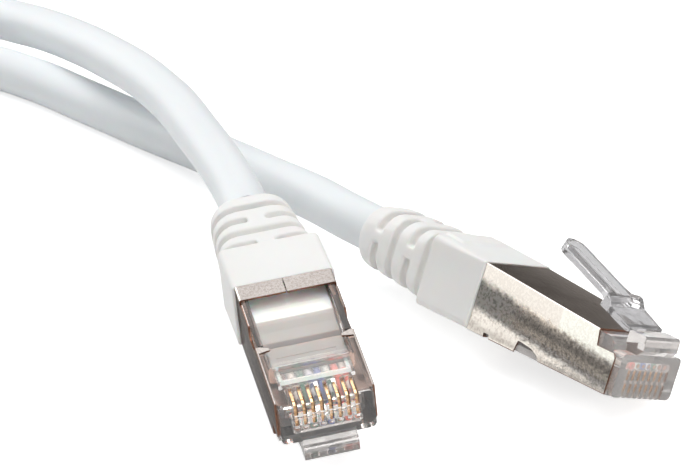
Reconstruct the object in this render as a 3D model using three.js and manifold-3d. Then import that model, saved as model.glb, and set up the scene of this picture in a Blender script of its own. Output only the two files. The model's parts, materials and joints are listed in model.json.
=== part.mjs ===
// Shielded ethernet patch cable: two eight-contact modular plugs, each with a
// moulded strain relief boot, on one round white cord.
// Millimetres, +Z up. The ground is z = 0 and the origin is the middle of the
// ground that the two plugs cover, with the cord running off towards -X.
import * as THREE from 'three';
import { mergeVertices } from 'three/addons/utils/BufferGeometryUtils.js';
import Module from 'manifold-3d';

const wasm = await Module();
wasm.setup();

// ---------------------------------------------------------------- sizes
// Clear housing of a plug. In a plug's own frame X runs across the eight
// contacts, Y runs back from the nose face and Z runs from the contact face
// to the latch side.
const housingWidth = 11.1;
const noseHeight = 5.35;
const noseDepth = 1.7;
const noseCorner = 0.7;
const housingRear = 23.1;
const rearLedgeStart = 20.5;
const rearLedgeDepth = 0.12;

// Contact blades and the slots that they stand in.
const contactCount = 8;
const contactPitch = 1.016;
const bladeThickness = 0.35;
const bladeFront = 0.55;
const bladeRear = 3.4;
const bladeTop = 0.45;
const slotClearance = 0.06;
const slotBar = 0.35;
const slotBarTop = 1.8;
const slotBarBottom = 2.2;
const toothDepth = 0.55;
const toothWidth = 0.45;

// Conductors, side by side in one flat channel.
const wireDiameter = 0.88;
const wireHeight = 3.85;
const wireStart = 0.95;
const channelClearance = 0.08;

// Rear chamber of the housing with the wire bar and the white inner mould.
const chamberStart = 8.2;
const chamberHalfWidth = 5.05;
const chamberBottom = 1.35;
const chamberTop = 6.3;
const windowRecess = 0.75;
const windowHalfWidth = 4.8;
const windowStart = 7.6;
const barLength = 5.2;
const barHeight = 2.7;
const combReach = 2.8;
const combThickness = 0.43;
const combHalfWidth = 4.2;
const combStrip = 1.2;
const combWindowLength = 0.85;
const mouldFlange = 0.8;
const fit = 0.3;

// Folded shield.
const sheet = 0.25;
const shieldGap = 0.05;
const shieldRear = 23.5;
const shieldFront = 0.9;
const shieldRearHeight = 8.3;
const shieldNotchHeight = 7.0;
const notchRear = 4.3;
const notchFloor = 5.0;
const bandWidth = 2.7;
const bandProud = 0.25;
const seamWidth = 0.14;
const seamOffset = -0.13;
const lugReach = 1.35;
const lugStart = 10.5;
const lugLength = 1.2;
const lugWindow = 4.0;
const lugWindowHeight = 1.3;
const slitWidth = 0.9;
const slitHeight = 0.35;

// Latch: a wide tongue and a narrow channelled lever, raised from the body.
const latchRootWidth = 6.4;
const latchRootFront = 0.75;
const latchRootBottom = 6.1;
const latchRootTop = 7.85;
const latchHingeY = 2.1;
const latchHingeZ = 7.4;
const latchAngle = 19;
const latchLength = 16.4;
const tongueLength = 5.6;
const tongueThickness = 1.0;
const leverWidth = 3.3;
const leverThickness = 0.75;
const railWidth = 0.55;
const railHeight = 0.7;

// Strain relief boot.
const bootWidth = 12.4;
const bootTop = 8.9;
const bootCorner = 0.8;
const bootLipCorner = 1.7;
const bootBlockLength = 8.9;
const bootLength = 22.2;
const lipStep = 0.35;
const bootEndHalfWidth = 5.0;
const bootEndHalfHeight = 3.95;
const bootEndCorner = 3.4;
const bootEndRound = 2.0;
const bootEndDraw = 1.0;
const bootGrooves = 4;
const groovePitch = 3.0;
const grooveWidth = 1.2;
const grooveDepth = 1.1;
const bridgeWidth = 2.3;
const sideBridgeWidth = 1.45;
const sideBridgeRise = 0.5;
const padWidth = 8.4;
const padStart = 5.9;
const padHeight = 0.35;
const ferruleGap = 0.25;
const ferruleWall = 0.6;
const ferruleLength = 5.4;

// Cord.
const cordDiameter = 6.0;
const cordAxisHeight = 4.55;
const cordClearance = 0.12;
const meetingGap = 0.3;
const coilCentre = new THREE.Vector2(-151.9, -6.9);
const coilMeanRadius = 30.0;
const coilTurns = 3.75;
const coilPitch = 6.6;
const coilLayerHeight = 6.6;
const coilStepsPerTurn = 24;
const coilSides = 6;
const strandSides = 10;
const strandSteps = 18;

// How far the free end of each boot hangs over to the side of the last
// contact and to the latch side.
const bootLean = { a: [0.3, 2.0], b: [0, 0] };

// Where the two plugs lie: yaw, pitch and roll in degrees, then the nose.
const plugs = {
  a: { yaw: 56.8, pitch: 9.3, roll: 173, x: 12.3, y: -21.74 },
  b: { yaw: 87, pitch: 0.75, roll: 22.5, x: 27.3, y: 15.6 },
};

// The cord's two free stretches, from each boot to the coil, chosen by hand.
const strandA = [
  [-26.3, 4.1, 12.1],
  [-31.4, 7.4, 12.5],
  [-39.5, 11.9, 12.8],
  [-48.0, 16.4, 12.6],
  [-56.9, 21.2, 12.0],
  [-62.9, 24.0, 11.4],
  [-69.7, 26.8, 10.7],
  [-77.7, 29.2, 9.9],
  [-87.2, 31.6, 8.8],
  [-96.9, 33.8, 7.2],
  [-105.9, 34.9, 5.7],
  [-114.9, 34.8, 4.9],
  [-123.9, 33.2, 5.9],
  [-131.9, 30.9, 8.0],
  [-139.4, 29.4, 9.5],
  [-145.6, 29.3, 9.6],
];
const strandB = [
  [-18.5, 19.7, 7.1],
  [-24.5, 20.1, 7.2],
  [-31.8, 21.4, 6.9],
  [-40.3, 22.7, 6.1],
  [-48.1, 24.2, 5.2],
  [-57.2, 25.7, 4.2],
  [-68.4, 27.0, 3.2],
  [-80.9, 27.5, 3.0],
  [-93.7, 27.4, 3.0],
  [-102.1, 25.7, 3.0],
  [-109.3, 21.0, 3.0],
  [-114.0, 13.8, 3.0],
  [-115.7, 5.4, 3.0],
  [-115.7, -0.6, 3.0],
];

// ------------------------------------------------------------- materials
function finish(colour, roughness, metalness = 0) {
  return new THREE.MeshStandardMaterial({ color: colour, roughness, metalness });
}

const clearPlastic = () => finish('#c9cbcc', 0.12);
const nickelPlate = () => finish('#8f8a86', 0.28, 1);
const goldPlate = () => finish('#d8a867', 0.25, 1);
const whitePolyethylene = () => finish('#f2f4f6', 0.55);
const frostedBar = () => finish('#dfe1e0', 0.4);
const bootElastomer = () => finish('#f1f1ef', 0.6);
const cordJacket = () => finish('#eef2f4', 0.45);

// Conductor colours in contact order, from contact 1 to contact 8.
const wireColours = [
  '#e9dccb', '#d9653f', '#cfd9cf', '#2f4f8f',
  '#c7c9dd', '#1f6a52', '#d8cbc4', '#6a4336',
];

// ------------------------------------------------------- solid modelling
// A geometry as a manifold solid, with its shared vertices merged.
function solid(geometry) {
  const bare = geometry.index ? geometry.toNonIndexed() : geometry.clone();
  bare.deleteAttribute('normal');
  bare.deleteAttribute('uv');
  const merged = mergeVertices(bare, 1e-4);
  return new wasm.Manifold(new wasm.Mesh({
    numProp: 3,
    vertProperties: new Float32Array(merged.attributes.position.array),
    triVerts: new Uint32Array(merged.index.array),
  }));
}

// A manifold solid as a geometry with flat facets.
function geometryOf(manifold) {
  const mesh = manifold.getMesh();
  const geometry = new THREE.BufferGeometry();
  geometry.setAttribute('position', new THREE.BufferAttribute(mesh.vertProperties, 3));
  geometry.setIndex(new THREE.BufferAttribute(mesh.triVerts, 1));
  const flat = geometry.toNonIndexed();
  flat.computeVertexNormals();
  return flat;
}

function union(first, ...rest) {
  return rest.reduce((sum, piece) => sum.add(piece), first);
}

function cut(first, ...tools) {
  return tools.reduce((left, tool) => left.subtract(tool), first);
}

// A box between two corners.
function block(x0, x1, y0, y1, z0, z1) {
  const geometry = new THREE.BoxGeometry(x1 - x0, y1 - y0, z1 - z0);
  geometry.translate((x0 + x1) / 2, (y0 + y1) / 2, (z0 + z1) / 2);
  return solid(geometry);
}

function outline(points) {
  return new THREE.Shape(points.map(([u, v]) => new THREE.Vector2(u, v)));
}

// An upright outline in Y and Z, pushed along X.
function acrossX(shape, x0, x1, curveSegments = 4) {
  const options = { depth: x1 - x0, bevelEnabled: false, curveSegments };
  const geometry = new THREE.ExtrudeGeometry(shape, options);
  geometry.applyMatrix4(new THREE.Matrix4().makeBasis(
    new THREE.Vector3(0, 1, 0), new THREE.Vector3(0, 0, 1), new THREE.Vector3(1, 0, 0)));
  geometry.translate(x0, 0, 0);
  return solid(geometry);
}

// An upright outline in X and Z, pushed along Y.
function alongY(shape, y0, y1, curveSegments = 4) {
  const options = { depth: y1 - y0, bevelEnabled: false, curveSegments };
  const geometry = new THREE.ExtrudeGeometry(shape, options);
  geometry.applyMatrix4(new THREE.Matrix4().makeBasis(
    new THREE.Vector3(1, 0, 0), new THREE.Vector3(0, 0, 1), new THREE.Vector3(0, -1, 0)));
  geometry.translate(0, y1, 0);
  return solid(geometry);
}

// A flat outline in X and Y, pushed up Z.
function upZ(shape, z0, z1, curveSegments = 6) {
  const options = { depth: z1 - z0, bevelEnabled: false, curveSegments };
  const geometry = new THREE.ExtrudeGeometry(shape, options);
  geometry.translate(0, 0, z0);
  return solid(geometry);
}

function roundedRectangle(x0, x1, z0, z1, radius) {
  const shape = new THREE.Shape();
  shape.moveTo(x0 + radius, z0);
  shape.lineTo(x1 - radius, z0);
  shape.absarc(x1 - radius, z0 + radius, radius, -Math.PI / 2, 0, false);
  shape.lineTo(x1, z1 - radius);
  shape.absarc(x1 - radius, z1 - radius, radius, 0, Math.PI / 2, false);
  shape.lineTo(x0 + radius, z1);
  shape.absarc(x0 + radius, z1 - radius, radius, Math.PI / 2, Math.PI, false);
  shape.lineTo(x0, z0 + radius);
  shape.absarc(x0 + radius, z0 + radius, radius, Math.PI, Math.PI * 1.5, false);
  return shape;
}

// A round bar along Y at the given height.
function rodY(radius, y0, y1, z, sides, x = 0) {
  const geometry = new THREE.CylinderGeometry(radius, radius, y1 - y0, sides);
  geometry.translate(x, (y0 + y1) / 2, z);
  return solid(geometry);
}

// ------------------------------------------------------------ plug sizes
const shieldWidth = housingWidth + 2 * (shieldGap + sheet);
const shieldHalf = shieldWidth / 2;
const housingHalf = housingWidth / 2;
const wireRadius = wireDiameter / 2;
const wireTop = wireHeight - wireRadius;
const shieldSlope = (shieldRearHeight - shieldNotchHeight) / (shieldRear - notchRear);
const bootStart = shieldRear + 0.05;
const bootEnd = bootStart + bootLength;
const mouldStart = chamberStart + fit + barLength + fit + mouldFlange;
const mouldEnd = housingRear;
const combStart = chamberStart + fit - combReach;
const ferruleRadius = cordDiameter / 2 + ferruleGap + ferruleWall;

// Height of the shield's outer latch face above the contact face.
function shieldTop(y) {
  return shieldNotchHeight + (y - notchRear) * shieldSlope;
}

// X of a contact: contact 1 lies on the -X side, which is the left seen from
// the nose with the latch above.
function contactX(index) {
  return (index - (contactCount - 1) / 2) * contactPitch;
}

// --------------------------------------------------------------- housing
// Side outline of the housing behind the nose block, under the shield.
function housingBodyOutline() {
  const under = sheet + shieldGap;
  return outline([
    [0.6, 0],
    [rearLedgeStart, 0],
    [rearLedgeStart, rearLedgeDepth],
    [housingRear, rearLedgeDepth],
    [housingRear, shieldTop(housingRear) - under],
    [notchRear, shieldTop(notchRear) - under],
    [noseDepth + 0.9, shieldTop(notchRear) - under],
    [noseDepth, shieldTop(notchRear) - under - 0.7],
    [noseDepth, noseHeight - 0.5],
    [0.6, noseHeight - 0.5],
  ]);
}

// Side outline of the block that carries the latch. It overhangs the nose
// face, with a slanted underside.
function latchRootOutline() {
  return outline([
    [0, noseHeight - 1],
    [latchHingeY, noseHeight - 1],
    [latchHingeY - 0.1, latchRootTop - 0.15],
    [latchHingeY - 0.4, latchRootTop],
    [0.3 - latchRootFront, latchRootTop],
    [-latchRootFront, latchRootTop - 0.3],
    [-latchRootFront, latchRootBottom],
    [0, noseHeight - 0.1],
  ]);
}

// One contact slot: a deep pocket, open to the contact face, with two
// windows in the nose face above and below a thin bar.
function contactSlot(x) {
  const half = bladeThickness / 2 + slotClearance;
  const floor = wireTop + 0.1;
  return union(
    block(x - half, x + half, slotBar, bladeRear + slotClearance, -1, floor),
    block(x - half, x + half, -1, slotBar + 0.1, -1, slotBarTop),
    block(x - half, x + half, -1, slotBar + 0.1, slotBarBottom, floor - 0.05),
  );
}

// Flat channel for the eight conductors, from the chamber towards the nose,
// made taller at its rear for the comb of the wire bar.
function wireChannel() {
  const half = (contactCount - 1) / 2 * contactPitch + wireRadius + channelClearance;
  const low = wireHeight - wireRadius - channelClearance;
  const high = wireHeight + wireRadius + channelClearance;
  const start = wireStart - fit;
  const inside = chamberStart + 0.5;
  const forWires = alongY(roundedRectangle(-half, half, low, high, 0.4), start, inside);
  const forComb = block(-combHalfWidth - fit, combHalfWidth + fit, combStart - fit, inside,
    low - combThickness - fit, wireHeight);
  return union(forWires, forComb);
}

// Shallow recess in the contact face, with a ramp towards the contacts.
function contactFaceRecess() {
  const shape = outline([
    [windowStart, -1],
    [housingRear + 1, -1],
    [housingRear + 1, windowRecess],
    [windowStart + 1.6, windowRecess],
    [windowStart, 0],
  ]);
  return acrossX(shape, -windowHalfWidth, windowHalfWidth);
}

// Pocket under each folded lug, in the edge of the contact face.
function lugPocket(side) {
  const edge = side * housingHalf;
  const inner = side * (housingHalf - lugReach - 0.15);
  const low = Math.min(edge + side, inner);
  const high = Math.max(edge + side, inner);
  return block(low, high, lugStart - 0.2, lugStart + lugLength + 0.2, -1, sheet + 0.2);
}

function buildHousing() {
  const nose = alongY(
    roundedRectangle(-housingHalf, housingHalf, 0, noseHeight, noseCorner),
    0, noseDepth + 1, 3);
  const body = acrossX(housingBodyOutline(), -housingHalf, housingHalf);
  const root = acrossX(latchRootOutline(), -latchRootWidth / 2, latchRootWidth / 2);
  const chamber = alongY(
    roundedRectangle(-chamberHalfWidth, chamberHalfWidth, chamberBottom, chamberTop, 0.6),
    chamberStart, housingRear + 1, 2);
  const slots = [];
  for (let i = 0; i < contactCount; i += 1) slots.push(contactSlot(contactX(i)));
  return cut(union(nose, body, root), chamber, wireChannel(), contactFaceRecess(),
    lugPocket(1), lugPocket(-1), ...slots);
}

// -------------------------------------------------------------- contacts
// Side outline of a blade: crowned front corner, a small nick in the contact
// edge, and two teeth that bite into the conductor.
function bladeOutline() {
  const base = wireTop - 0.06;
  const tip = wireTop + toothDepth;
  const teeth = [bladeFront + 0.55, bladeRear - 0.55 - toothWidth];
  const points = [
    [bladeRear, bladeTop],
    [bladeRear, base],
  ];
  for (const y of teeth.slice().reverse()) {
    points.push([y + toothWidth, base]);
    points.push([y + toothWidth / 2, tip]);
    points.push([y, base]);
  }
  points.push([bladeFront, base]);
  points.push([bladeFront, bladeTop + 0.55]);
  points.push([bladeFront + 0.16, bladeTop + 0.16]);
  points.push([bladeFront + 0.5, bladeTop]);
  points.push([bladeFront + 0.75, bladeTop]);
  points.push([bladeFront + 0.85, bladeTop + 0.18]);
  points.push([bladeFront + 0.95, bladeTop]);
  return outline(points);
}

function buildContact(index) {
  const x = contactX(index);
  return acrossX(bladeOutline(), x - bladeThickness / 2, x + bladeThickness / 2);
}

// ------------------------------------------------------------ conductors
// An insulated conductor, with the two bites that the blade's teeth make.
function buildConductor(index) {
  const x = contactX(index);
  const wire = rodY(wireRadius, wireStart, mouldStart - fit, wireHeight, 8, x);
  const half = bladeThickness / 2 + 0.02;
  const bites = [bladeFront + 0.55, bladeRear - 0.55 - toothWidth].map((y) => block(
    x - half, x + half, y - 0.03, y + toothWidth + 0.03, wireTop - 1, wireTop + toothDepth + 0.02));
  return cut(wire, ...bites);
}

// The bar that keeps the conductors in line, with one flat slot and a thin
// comb plate that reaches over the conductors towards the contacts.
function buildWireBar() {
  const half = chamberHalfWidth - fit;
  const low = wireHeight - barHeight / 2;
  const high = wireHeight + barHeight / 2;
  const start = chamberStart + fit;
  const body = alongY(roundedRectangle(-half, half, low, high, 0.4), start, start + barLength, 2);
  const slotHalf = (contactCount - 1) / 2 * contactPitch + wireRadius + channelClearance;
  const slot = alongY(
    roundedRectangle(-slotHalf, slotHalf, wireTop - channelClearance,
      wireHeight + wireRadius + channelClearance, 0.4),
    start - 1, start + barLength + 1, 2);
  const step = block(-half + 1.2, half - 1.2, start + 1.5, start + 3.3, low - 1, low + 0.4);
  const combBottom = wireTop - channelClearance;
  const comb = block(-combHalfWidth, combHalfWidth, combStart, start + 0.5,
    combBottom - combThickness, combBottom);
  const opening = combStart + combStrip;
  const combWindow = block(-combHalfWidth + 0.4, combHalfWidth - 0.4, opening,
    opening + combWindowLength, combBottom - 1, combBottom + 0.05);
  return cut(union(body, comb), slot, step, combWindow);
}

// The white inner mould behind the bar, stepped down towards the conductors.
function buildInnerMould() {
  const half = chamberHalfWidth - fit;
  const low = chamberBottom + 0.2;
  const high = chamberTop - 0.2;
  const body = acrossX(outline([
    [mouldStart, wireHeight - 1.3],
    [mouldStart, wireHeight + 1.3],
    [mouldStart + 1.6, high],
    [mouldEnd, high],
    [mouldEnd, low],
    [mouldStart + 2.4, low],
    [mouldStart + 1.4, low + 0.5],
  ].reverse()), -half, half);
  return body;
}

// ---------------------------------------------------------------- shield
// One side wall: notched above the nose, with a slit beside the rear band
// and a window where the lug was folded out of it.
function shieldSideOutline() {
  const slit = shieldRear - bandWidth;
  const lugRear = lugStart + lugLength;
  const windowRear = lugRear + lugWindow;
  return outline([
    [shieldFront, 0],
    [lugRear, 0],
    [lugRear + 0.3, lugWindowHeight * 0.45],
    [lugRear + 1.4, lugWindowHeight * 0.85],
    [windowRear - 0.9, lugWindowHeight],
    [windowRear - 0.3, lugWindowHeight],
    [windowRear, -bandProud],
    [slit - slitWidth, -bandProud],
    [slit - slitWidth, slitHeight],
    [slit, slitHeight],
    [slit, -bandProud],
    [shieldRear, -bandProud],
    [shieldRear, shieldRearHeight],
    [notchRear, shieldNotchHeight],
    [notchRear - 0.35, notchFloor],
    [shieldFront + 0.3, notchFloor],
    [shieldFront, notchFloor - 0.5],
  ]);
}

function buildShield() {
  const rightSide = acrossX(shieldSideOutline(), shieldHalf - sheet, shieldHalf);
  const leftSide = acrossX(shieldSideOutline(), -shieldHalf, -shieldHalf + sheet);
  const top = acrossX(outline([
    [notchRear, shieldNotchHeight - sheet],
    [shieldRear, shieldRearHeight - sheet],
    [shieldRear, shieldRearHeight],
    [notchRear, shieldNotchHeight],
  ]), -shieldHalf, shieldHalf);
  const bandFront = shieldRear - bandWidth;
  const seam = -seamOffset;
  const bandTop = sheet - bandProud;
  const band = union(
    block(-shieldHalf, seam - seamWidth / 2, bandFront, shieldRear, -bandProud, bandTop),
    block(seam + seamWidth / 2, shieldHalf, bandFront, shieldRear, -bandProud, bandTop),
  );
  const lugs = [1, -1].map((side) => {
    const edge = side * shieldHalf;
    const tip = side * (shieldHalf - sheet - lugReach);
    const plan = outline([
      [edge, lugStart],
      [edge, lugStart + lugLength],
      [edge - side * (sheet + 0.3), lugStart + lugLength],
      [tip, lugStart + lugLength * 0.62],
      [tip, lugStart + lugLength * 0.3],
    ]);
    return upZ(plan, 0, sheet);
  });
  return union(rightSide, leftSide, top, band, ...lugs);
}

// ----------------------------------------------------------------- latch
// Built lying along +Y from the hinge, with the outer side up.
function buildLatch() {
  const half = latchRootWidth / 2;
  const leverHalf = leverWidth / 2;
  const start = 0.3;
  const plan = new THREE.Shape();
  plan.moveTo(-half, start);
  plan.lineTo(half, start);
  plan.lineTo(half, tongueLength);
  plan.lineTo(leverHalf + 0.25, tongueLength + 0.35);
  plan.lineTo(leverHalf, tongueLength + 1.6);
  plan.lineTo(leverHalf, latchLength - leverHalf);
  plan.absarc(0, latchLength - leverHalf, leverHalf, 0, Math.PI, false);
  plan.lineTo(-leverHalf, tongueLength + 1.6);
  plan.lineTo(-leverHalf - 0.25, tongueLength + 0.35);
  plan.lineTo(-half, tongueLength);
  const side = outline([
    [0, -0.1],
    [1.2, -0.25],
    [tongueLength + 0.2, -0.3],
    [tongueLength + 1.4, 0],
    [latchLength + 1, 0],
    [latchLength + 1, leverThickness + railHeight],
    [tongueLength - 0.6, leverThickness + railHeight],
    [tongueLength - 1.6, tongueThickness - 0.3],
    [1.0, tongueThickness - 0.45],
    [0, 0.55],
  ]);
  const body = upZ(plan, -2, 4).intersect(acrossX(side, -half - 1, half + 1));
  const channelHalf = leverHalf - railWidth;
  const channel = new THREE.Shape();
  channel.moveTo(-channelHalf, tongueLength - 0.1);
  channel.lineTo(channelHalf, tongueLength - 0.1);
  channel.lineTo(channelHalf, latchLength - leverHalf);
  channel.absarc(0, latchLength - leverHalf, channelHalf, 0, Math.PI, false);
  return cut(body, upZ(channel, leverThickness, 5));
}

// ------------------------------------------------------------------ boot
// Half width, low edge, high edge and corner radius of the boot's outline at
// a distance from its front face: a plain block, then lips that taper gently
// and close in a round collar.
function bootSection(distance) {
  const { lerp } = THREE.MathUtils;
  const taper = Math.max(0, (distance - bootBlockLength) / (bootLength - bootBlockLength));
  const step = taper > 0 ? lipStep : 0;
  const nearEnd = Math.max(0, 1 - (bootLength - distance) / bootEndRound);
  const draw = bootEndDraw * (1 - Math.sqrt(1 - nearEnd * nearEnd));
  const half = lerp(bootWidth / 2 - step, bootEndHalfWidth, taper) - draw;
  const low = lerp(step - bandProud, cordAxisHeight - bootEndHalfHeight, taper) + draw;
  const high = lerp(bootTop - step, cordAxisHeight + bootEndHalfHeight, taper) - draw;
  const corner = taper > 0 ? lerp(bootLipCorner, bootEndCorner, Math.sqrt(taper)) : bootCorner;
  return { half, low, high, corner: Math.min(corner, (high - low) / 2 - 0.02, half - 0.02) };
}

// A lofted skin through the boot's outline, drawn in by an inset.
function bootLoft(stations, inset) {
  const cornerSteps = 5;
  const positions = [];
  const index = [];
  const count = 4 * (cornerSteps + 1);
  const rings = stations.length - 1;
  for (const distance of stations) {
    const s = bootSection(distance);
    const half = s.half - inset;
    const low = s.low + inset;
    const high = s.high - inset;
    const radius = Math.max(0.4, s.corner - inset);
    const centres = [
      [half - radius, low + radius, -Math.PI / 2],
      [half - radius, high - radius, 0],
      [-half + radius, high - radius, Math.PI / 2],
      [-half + radius, low + radius, Math.PI],
    ];
    for (const [x, z, start] of centres) {
      for (let k = 0; k <= cornerSteps; k += 1) {
        const angle = start + Math.PI / 2 * k / cornerSteps;
        positions.push(x + radius * Math.cos(angle), bootStart + distance, z + radius * Math.sin(angle));
      }
    }
  }
  for (let ring = 0; ring < rings; ring += 1) {
    for (let k = 0; k < count; k += 1) {
      const a = ring * count + k;
      const b = ring * count + (k + 1) % count;
      index.push(a, a + count, b, b, a + count, b + count);
    }
  }
  for (let k = 1; k < count - 1; k += 1) {
    index.push(0, k, k + 1);
    const last = rings * count;
    index.push(last, last + k + 1, last + k);
  }
  const geometry = new THREE.BufferGeometry();
  geometry.setAttribute('position', new THREE.Float32BufferAttribute(positions, 3));
  geometry.setIndex(index);
  return solid(geometry);
}

// Ring grooves. Odd ones are bridged at the middle of the narrow sides, even
// ones at the middle of the wide faces, so that the boot bends both ways.
function bootGroove(index) {
  const start = bootBlockLength + index * groovePitch;
  const y0 = bootStart + start;
  const y1 = y0 + grooveWidth;
  const slab = block(-20, 20, y0, y1, -20, 30);
  const core = bootLoft([start - 0.5, start + grooveWidth + 0.5], grooveDepth);
  const onSides = index % 2 === 1;
  const middle = cordAxisHeight + sideBridgeRise;
  const sideReach = sideBridgeWidth / 2;
  const bridge = onSides
    ? block(-20, 20, y0 - 1, y1 + 1, middle - sideReach, middle + sideReach)
    : block(-bridgeWidth / 2, bridgeWidth / 2, y0 - 1, y1 + 1, -20, 30);
  return cut(slab, core, bridge);
}

function buildBoot() {
  const bend = bootBlockLength + 0.01;
  const collar = bootLength - bootEndRound;
  const stations = [0, bootBlockLength, bend];
  for (let i = 1; i <= 4; i += 1) stations.push(THREE.MathUtils.lerp(bend, collar, i / 4));
  for (let i = 1; i <= 4; i += 1) {
    stations.push(bootLength - bootEndRound * (1 - Math.sin(i * Math.PI / 8)));
  }
  const skin = bootLoft(stations, 0);
  const pad = block(-padWidth / 2, padWidth / 2, bootStart + padStart,
    bootStart + bootBlockLength, bootTop - 1, bootTop + padHeight);
  const bore = rodY(cordDiameter / 2 + cordClearance, bootStart - 1, bootEnd + 1, cordAxisHeight, 20);
  const ferruleRoom = rodY(ferruleRadius + cordClearance, bootStart - 1,
    bootStart + ferruleLength + 2 * fit, cordAxisHeight, 20);
  const grooves = [];
  for (let i = 0; i < bootGrooves; i += 1) grooves.push(bootGroove(i));
  return cut(union(skin, pad), bore, ferruleRoom, ...grooves);
}

// Crimped ferrule that joins the cord's braid to the shield.
function buildFerrule() {
  const start = bootStart + fit;
  const outer = rodY(ferruleRadius, start, start + ferruleLength, cordAxisHeight, 16);
  const inner = rodY(ferruleRadius - ferruleWall, start - 1, start + ferruleLength + 1,
    cordAxisHeight, 16);
  return cut(outer, inner);
}

// The end of the jacket inside the boot and the rear of the shield.
function buildJacketEnd() {
  return rodY(cordDiameter / 2, mouldEnd + fit, bootEnd, cordAxisHeight, 16);
}

// ------------------------------------------------------------------ plug
function mesh(name, manifold, material) {
  const piece = new THREE.Mesh(geometryOf(manifold), material);
  piece.name = name;
  return piece;
}

// Leans a boot, and what lies in it, over from where it meets the shield.
function leaning(letter) {
  const across = bootLean[letter][0] / bootLength;
  const over = bootLean[letter][1] / bootLength;
  const lean = new THREE.Matrix4().makeShear(0, 0, across, over, 0, 0);
  const fromShield = new THREE.Matrix4().makeTranslation(0, bootStart, 0);
  return fromShield.clone().multiply(lean).multiply(fromShield.clone().invert());
}

// One plug with its boot, in its own frame, as a group.
function buildPlug(letter) {
  const plug = new THREE.Group();
  plug.add(mesh(`housing_${letter}`, buildHousing(), clearPlastic()));
  plug.add(mesh(`shield_${letter}`, buildShield(), nickelPlate()));
  plug.add(mesh(`wire_bar_${letter}`, buildWireBar(), frostedBar()));
  plug.add(mesh(`inner_mould_${letter}`, buildInnerMould(), whitePolyethylene()));
  const relief = [
    mesh(`ferrule_${letter}`, buildFerrule(), nickelPlate()),
    mesh(`jacket_end_${letter}`, buildJacketEnd(), cordJacket()),
    mesh(`boot_${letter}`, buildBoot(), bootElastomer()),
  ];
  for (const piece of relief) {
    piece.geometry.applyMatrix4(leaning(letter));
    plug.add(piece);
  }
  for (let i = 0; i < contactCount; i += 1) {
    plug.add(mesh(`contact_${letter}${i + 1}`, buildContact(i), goldPlate()));
    plug.add(mesh(`conductor_${letter}${i + 1}`, buildConductor(i), finish(wireColours[i], 0.5)));
  }
  const latch = mesh(`latch_${letter}`, buildLatch(), clearPlastic());
  latch.position.set(0, latchHingeY, latchHingeZ);
  latch.rotation.x = THREE.MathUtils.degToRad(latchAngle);
  plug.add(latch);
  return plug;
}

// Turns a plug and sets it down so that its lowest point touches the ground.
function layDown(plug, letter) {
  const place = plugs[letter];
  const radians = THREE.MathUtils.degToRad;
  plug.rotation.set(radians(place.pitch), radians(place.roll), radians(place.yaw), 'ZXY');
  plug.position.set(place.x, place.y, 0);
  plug.updateMatrixWorld(true);
  let lowest = Infinity;
  const corner = new THREE.Vector3();
  plug.traverse((piece) => {
    if (!piece.isMesh) return;
    const positions = piece.geometry.attributes.position;
    for (let i = 0; i < positions.count; i += 1) {
      corner.fromBufferAttribute(positions, i).applyMatrix4(piece.matrixWorld);
      lowest = Math.min(lowest, corner.z);
    }
  });
  plug.position.z = -lowest;
  plug.updateMatrixWorld(true);
  const exit = new THREE.Vector3(0, bootEnd + meetingGap, cordAxisHeight);
  const next = new THREE.Vector3(0, bootEnd + meetingGap + cordDiameter, cordAxisHeight);
  const stands = leaning(letter).premultiply(plug.matrixWorld);
  const written = (v) => v.applyMatrix4(stands).toArray().map((n) => n.toFixed(2));
  console.log('cord leaves at', written(exit).join(' '), 'towards', written(next).join(' '));
}

// ------------------------------------------------------------------ cord
function curveLength(points) {
  let sum = 0;
  for (let i = 1; i < points.length; i += 1) sum += points[i].distanceTo(points[i - 1]);
  return sum;
}

function strandCurve(route) {
  return new THREE.CatmullRomCurve3(route.map((p) => new THREE.Vector3(...p)), false, 'centripetal');
}

// A free stretch: a round section pushed along its route.
function buildStrand(name, route) {
  const section = new THREE.Shape();
  const radius = cordDiameter / 2;
  for (let i = 0; i < strandSides; i += 1) {
    const angle = 2 * Math.PI * (i + 0.5) / strandSides;
    const point = [radius * Math.cos(angle), radius * Math.sin(angle)];
    if (i === 0) section.moveTo(...point);
    else section.lineTo(...point);
  }
  const curve = strandCurve(route);
  const geometry = new THREE.ExtrudeGeometry(section, {
    steps: strandSteps, extrudePath: curve, curveSegments: 1,
  });
  const piece = new THREE.Mesh(geometry, cordJacket());
  piece.name = name;
  console.log(name, 'length', curveLength(curve.getSpacedPoints(400)).toFixed(1));
  return piece;
}

// Centre line of the coil. It comes in along the upper layer, winds inwards
// at a steady rate, climbs down a layer in the half turn where the spiral
// reverses, and winds outwards along the ground.
function coilPoint(turn) {
  const innerRadius = coilMeanRadius - coilPitch * coilTurns / 4;
  const radius = innerRadius + coilPitch * Math.abs(turn);
  const angle = 2 * Math.PI * (turn - coilTurns / 2);
  const climb = THREE.MathUtils.clamp(0.5 - turn * 2, 0, 1);
  const ease = climb * climb * (3 - 2 * climb);
  return new THREE.Vector3(
    coilCentre.x + radius * Math.cos(angle),
    coilCentre.y + radius * Math.sin(angle),
    cordDiameter / 2 + coilLayerHeight * ease);
}

function coilCentreLine() {
  const points = [];
  const steps = Math.round(coilTurns * coilStepsPerTurn);
  for (let i = 0; i <= steps; i += 1) {
    points.push(coilPoint(coilTurns * (i / steps - 0.5)));
  }
  const upperEnd = points[0].clone().add(new THREE.Vector3(cordDiameter, 0, 0));
  const lowerEnd = points[steps].clone().add(new THREE.Vector3(0, cordDiameter, 0));
  return [upperEnd, ...points, lowerEnd];
}

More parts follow.
